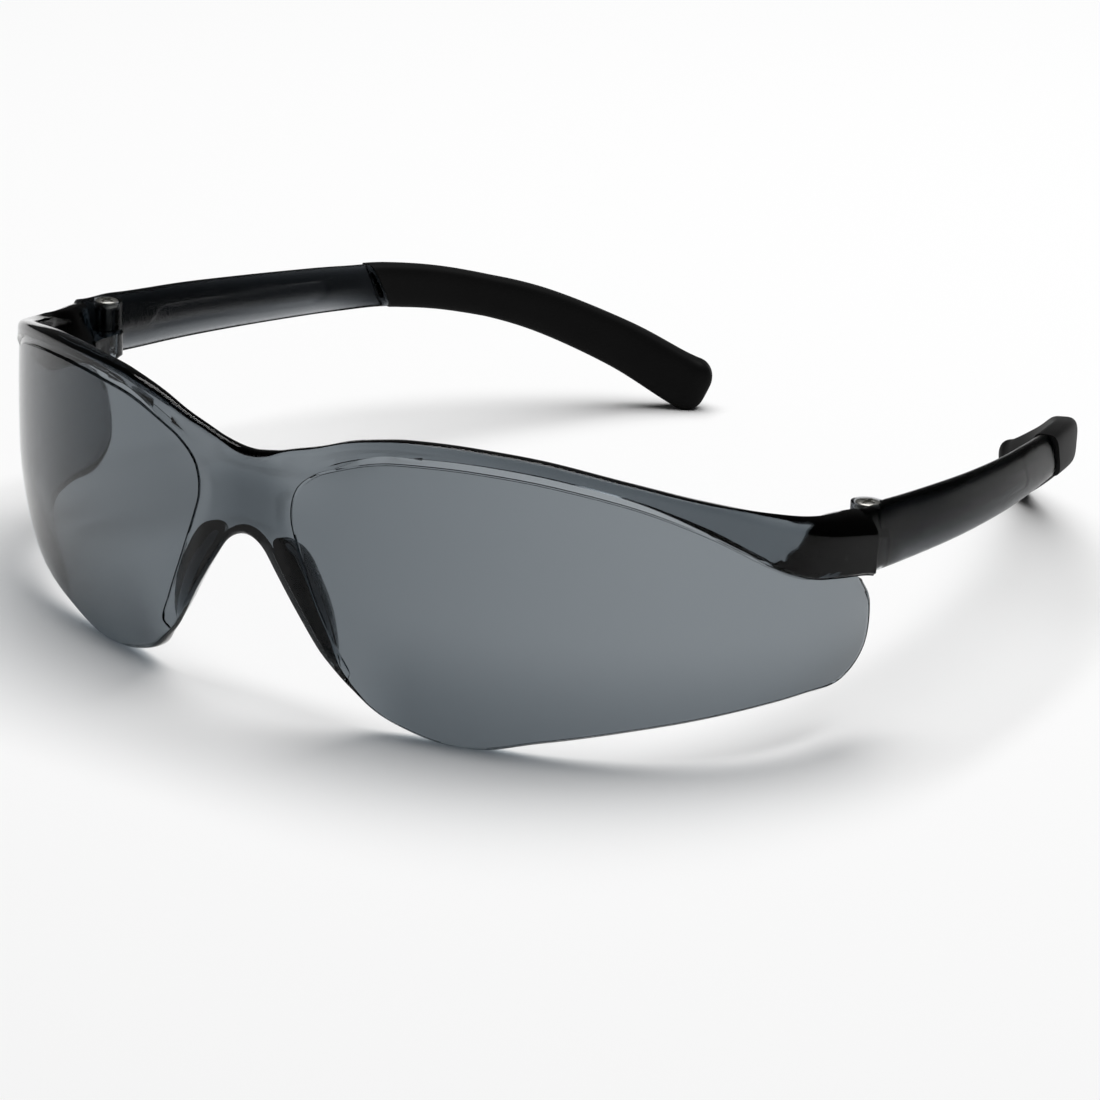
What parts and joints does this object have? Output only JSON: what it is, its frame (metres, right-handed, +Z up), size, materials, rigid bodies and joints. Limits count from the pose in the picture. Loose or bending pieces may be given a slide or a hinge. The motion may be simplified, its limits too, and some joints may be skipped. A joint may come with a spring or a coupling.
{
  "type": "safety glasses",
  "caption": "Frameless wraparound safety glasses: a see-through smoke shield with moulded bridge and nose pads, and folding temples with soft curved tips on screwed hinges.",
  "frame": {"origin": "on the table plane, midway between the wearer's two sides and midway between the front of the lens and the back of the temple tips", "axes": "+X to the wearer's left, +Y from the lens back along the temples, +Z up from the table the glasses lie on"},
  "size_m": [0.1466, 0.1673, 0.0452],
  "materials": {
    "smoke_polycarbonate": "clear smoke-tinted polycarbonate, polished",
    "smoke_arm": "smoke-tinted polycarbonate, thick and nearly black",
    "black_rubber": "matte black thermoplastic rubber",
    "plated_steel": "bright plated steel"
  },
  "bodies": {
    "front": {"lens_shield": "smoke_polycarbonate", "left_hinge_screw": "plated_steel", "right_hinge_screw": "plated_steel"},
    "left_arm": {"left_temple": "smoke_arm", "left_temple_tip": "black_rubber"},
    "right_arm": {"right_temple": "smoke_arm", "right_temple_tip": "black_rubber"}
  },
  "joints": [
    {"name": "left_fold", "type": "hinge", "parent": "front", "child": "left_arm", "pos_m": [0.0685, -0.0311, 0.03], "axis": [0, 0, 1], "range_deg": [0, 84]},
    {"name": "right_fold", "type": "hinge", "parent": "front", "child": "right_arm", "pos_m": [-0.0685, -0.0311, 0.03], "axis": [0, 0, -1], "range_deg": [0, 72]}
  ]
}
